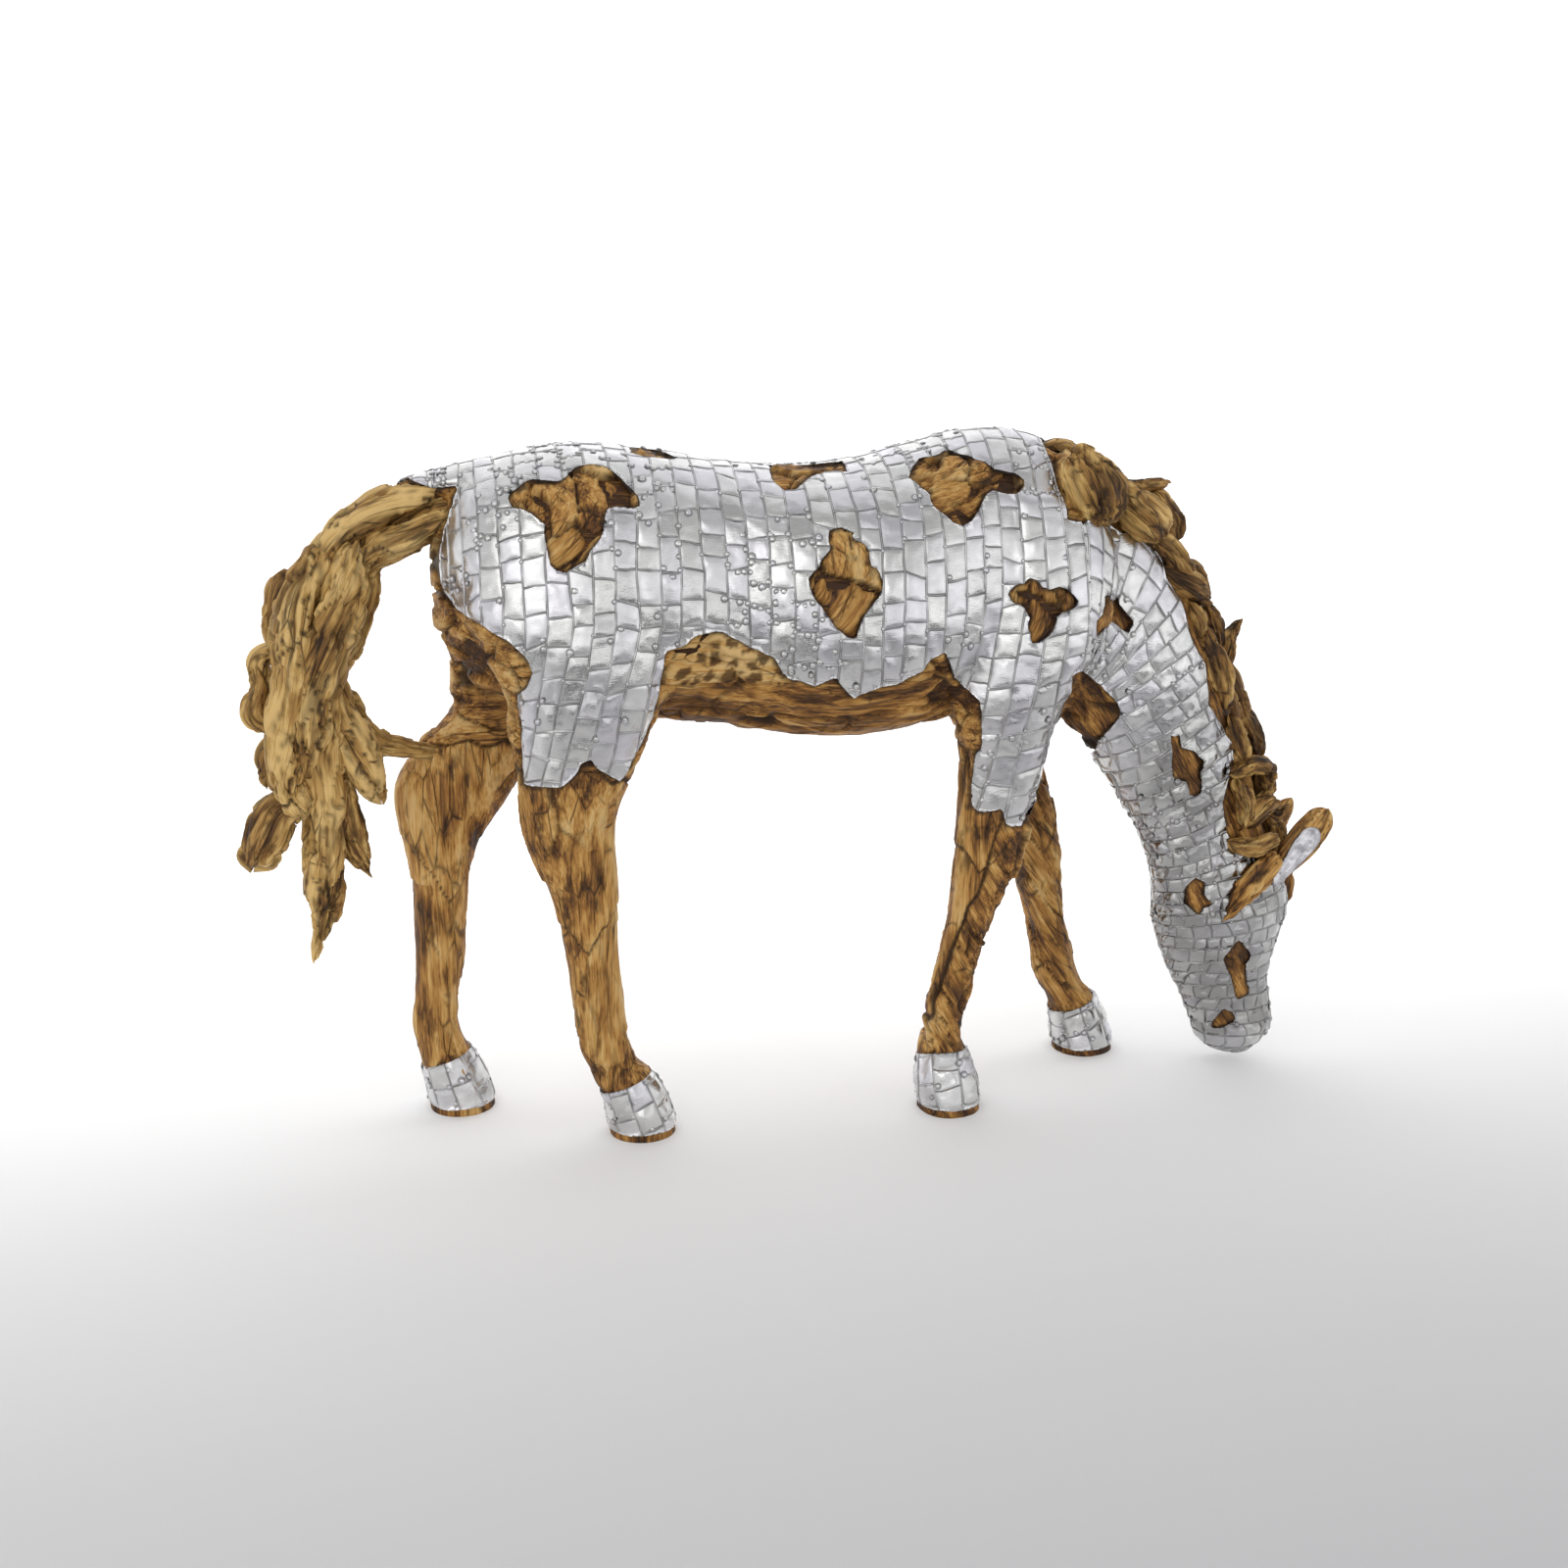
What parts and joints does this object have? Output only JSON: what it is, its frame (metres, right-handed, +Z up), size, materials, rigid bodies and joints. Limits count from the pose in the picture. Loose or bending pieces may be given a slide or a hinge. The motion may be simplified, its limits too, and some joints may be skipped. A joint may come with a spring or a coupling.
{
  "type": "horse sculpture",
  "caption": "Life-size grazing horse sculpture: carved root-wood body clad in riveted steel tiles, with a driftwood mane and tail; stands on its hooves.",
  "frame": {"origin": "on the floor, in the middle of the figure's footprint box", "axes": "+X the way the horse faces, +Y its left side, +Z up; the side seen in the picture is its right, at -Y"},
  "size_m": [2.3962, 0.5356, 1.4881],
  "materials": {
    "carved_wood": "polished golden-brown root wood with dark burnt grain and crevices",
    "root_wood": "weathered grooved root wood, satin",
    "riveted_steel": "bright hand-beaten steel tiles with raised welded seams and dome rivets"
  },
  "bodies": {
    "root": {"ear_far": "root_wood", "ear_near": "root_wood", "ear_plate": "riveted_steel", "forelock_chip": "root_wood", "forelock_leaf": "root_wood", "hoof_steel_far_fore": "riveted_steel", "hoof_steel_far_hind": "riveted_steel", "hoof_steel_near_fore": "riveted_steel", "hoof_steel_near_hind": "riveted_steel", "mane_big_lump": "root_wood", "mane_crest_1": "root_wood", "mane_crest_2": "root_wood", "mane_crest_3": "root_wood", "mane_crest_4": "root_wood", "mane_crest_5": "root_wood", "mane_crest_6": "root_wood", "mane_crest_7": "root_wood", "mane_cross_piece": "root_wood", "mane_hook": "root_wood", "mane_knot": "root_wood", "mane_point_1": "root_wood", "mane_point_2": "root_wood", "mane_ridge_plate": "root_wood", "mane_second_lump": "root_wood", "mane_side_1": "root_wood", "mane_side_2": "root_wood", "mane_side_3": "root_wood", "mane_side_4": "root_wood", "mane_side_5": "root_wood", "mane_side_6": "root_wood", "mane_side_7": "root_wood", "mane_stick": "root_wood", "steel_cladding": "riveted_steel", "tail_burl": "root_wood", "tail_cross_branch": "root_wood", "tail_curl": "root_wood", "tail_inner_strand": "root_wood", "tail_long_strand": "root_wood", "tail_lower_knob": "root_wood", "tail_lower_strand": "root_wood", "tail_middle_knob": "root_wood", "tail_middle_strand": "root_wood", "tail_root": "root_wood", "tail_splinter": "root_wood", "tail_under_slab": "root_wood", "tail_upper_knob": "root_wood", "wood_body": "carved_wood"}
  },
  "joints": []
}
